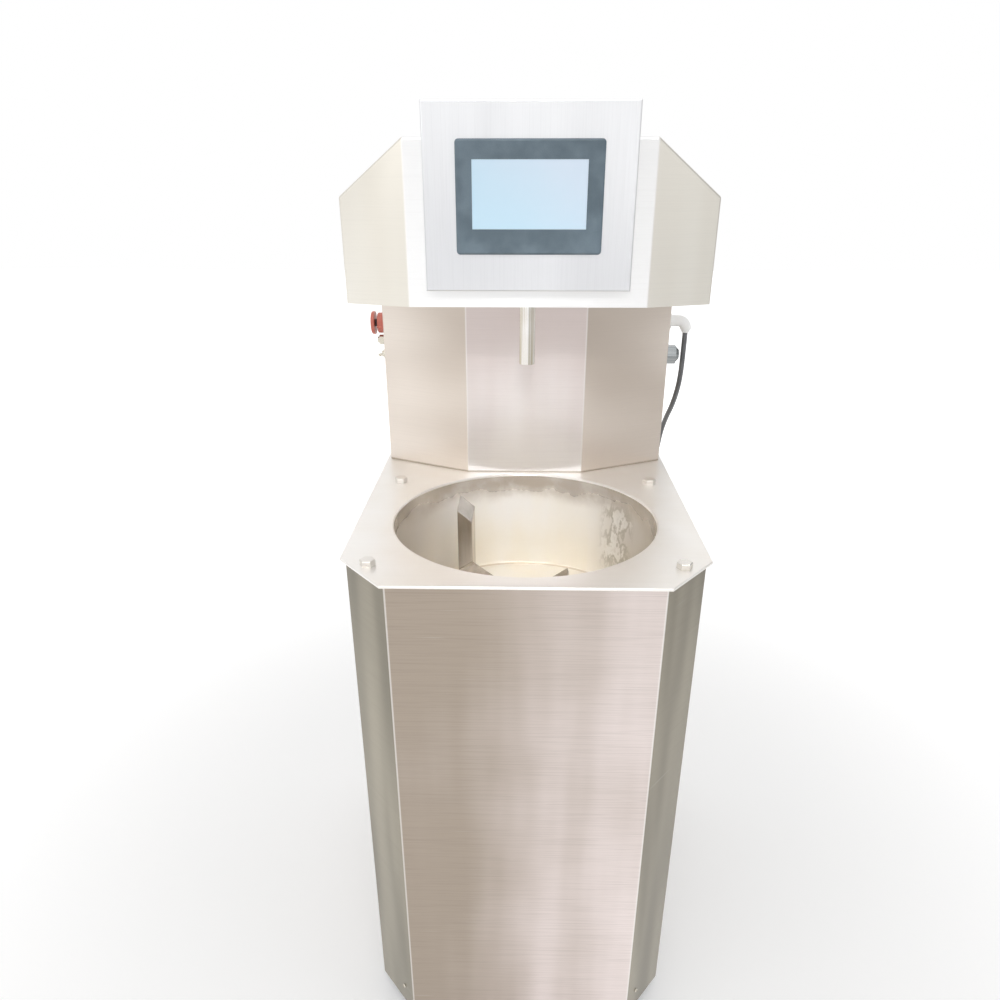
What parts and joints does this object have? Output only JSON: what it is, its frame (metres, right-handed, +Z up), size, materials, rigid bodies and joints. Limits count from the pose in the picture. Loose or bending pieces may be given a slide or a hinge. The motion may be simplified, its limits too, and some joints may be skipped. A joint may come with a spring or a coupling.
{
  "type": "chocolate tempering machine",
  "caption": "Free-standing stainless machine with a heated round bowl and turning stirrer in its deck, a column with a vertical screw, and a faceted head with touch panel and nozzle.",
  "frame": {"origin": "on the floor, under the middle of the deck", "axes": "+X to the operator's right, +Y away from the operator, +Z up"},
  "size_m": [0.619, 0.843, 1.57],
  "materials": {
    "brushed_sheet": "fine brushed stainless sheet",
    "polished_steel": "polished stainless",
    "nickel": "bright nickel plate",
    "frame_paint": "grey painted steel",
    "machined_steel": "turned steel",
    "cast_aluminium": "cast and finned aluminium",
    "black_enamel": "black enamel",
    "seal_white": "white bearing plastic",
    "bezel_grey": "dark grey gloss plastic",
    "display_blue": "lit display behind glass",
    "stop_red": "red moulded plastic",
    "stem_dark": "black moulded plastic",
    "gland_white": "white moulded plastic",
    "cord_black": "black rubber",
    "control_grey": "grey moulded plastic"
  },
  "bodies": {
    "cabinet": {"front_panel": "brushed_sheet", "left_side_panel": "brushed_sheet", "right_side_panel": "brushed_sheet", "rear_panel": "brushed_sheet", "rear_cover": "brushed_sheet", "deck_plate": "brushed_sheet", "column_shell": "brushed_sheet", "head_shell": "brushed_sheet", "head_floor": "brushed_sheet", "screen_panel": "brushed_sheet", "bowl": "polished_steel", "spout_nozzle": "polished_steel", "spout_pipe": "polished_steel", "feed_pipe": "polished_steel", "deck_bolts": "nickel", "panel_screws": "nickel", "push_collar": "nickel", "toggle_bush": "nickel", "fill_fitting": "nickel", "levelling_feet": "nickel", "base_frame": "frame_paint", "base_pan": "frame_paint", "drive_plate": "frame_paint", "control_plate": "frame_paint", "fan_shroud": "frame_paint", "water_jacket": "machined_steel", "jacket_heater": "machined_steel", "bearing_housing": "machined_steel", "shaft_bearings": "machined_steel", "tempering_cylinder": "machined_steel", "cylinder_cap": "machined_steel", "cooling_jacket": "machined_steel", "stirrer_gearmotor": "cast_aluminium", "auger_gearmotor": "cast_aluminium", "cylinder_base": "cast_aluminium", "condenser": "cast_aluminium", "compressor": "black_enamel", "shaft_seal": "seal_white", "hmi_body": "bezel_grey", "hmi_display": "display_blue", "e_stop_body": "stop_red", "gland_elbow": "gland_white", "power_cord": "cord_black", "cord_coil": "cord_black", "mains_plug": "cord_black", "controller": "control_grey", "contactors": "control_grey"},
    "stirrer": {"stirrer_arms": "polished_steel", "wall_scraper": "polished_steel", "inner_paddle": "polished_steel", "hub_nut": "polished_steel", "drive_shaft": "machined_steel", "stirrer_coupling": "machined_steel"},
    "screw": {"auger_screw": "machined_steel", "auger_coupling": "machined_steel"},
    "fan": {"fan_rotor": "stem_dark"},
    "stop_plunger": {"e_stop_stem": "stem_dark"},
    "stop_head": {"e_stop_cap": "stop_red"},
    "start_button": {"push_button": "nickel"},
    "toggle": {"toggle_lever": "nickel"}
  },
  "joints": [
    {"name": "stirrer_spin", "type": "hinge", "parent": "cabinet", "child": "stirrer", "pos_m": [0, -0.096, 0.79], "axis": [0, 0, 1], "continuous": true},
    {"name": "screw_spin", "type": "hinge", "parent": "cabinet", "child": "screw", "pos_m": [0, 0.24, 1], "axis": [0, 0, 1], "continuous": true},
    {"name": "fan_spin", "type": "hinge", "parent": "cabinet", "child": "fan", "pos_m": [0.108, 0.2685, 0.1795], "axis": [0, 1, 0], "continuous": true},
    {"name": "stop_press", "type": "slide", "parent": "cabinet", "child": "stop_plunger", "axis": [1, 0, 0], "range_m": [0, 0.004], "stiffness_N_per_m": 800},
    {"name": "stop_twist", "type": "hinge", "parent": "stop_plunger", "child": "stop_head", "pos_m": [-0.295, 0.24, 1.227], "axis": [-1, 0, 0], "range_deg": [0, 45], "stiffness_Nm_per_rad": 0.1},
    {"name": "button_press", "type": "slide", "parent": "cabinet", "child": "start_button", "axis": [1, 0, 0], "range_m": [0, 0.003], "stiffness_N_per_m": 600},
    {"name": "toggle_flip", "type": "hinge", "parent": "cabinet", "child": "toggle", "pos_m": [-0.279, 0.24, 1.168], "axis": [0, 1, 0], "range_deg": [0, 36]}
  ]
}
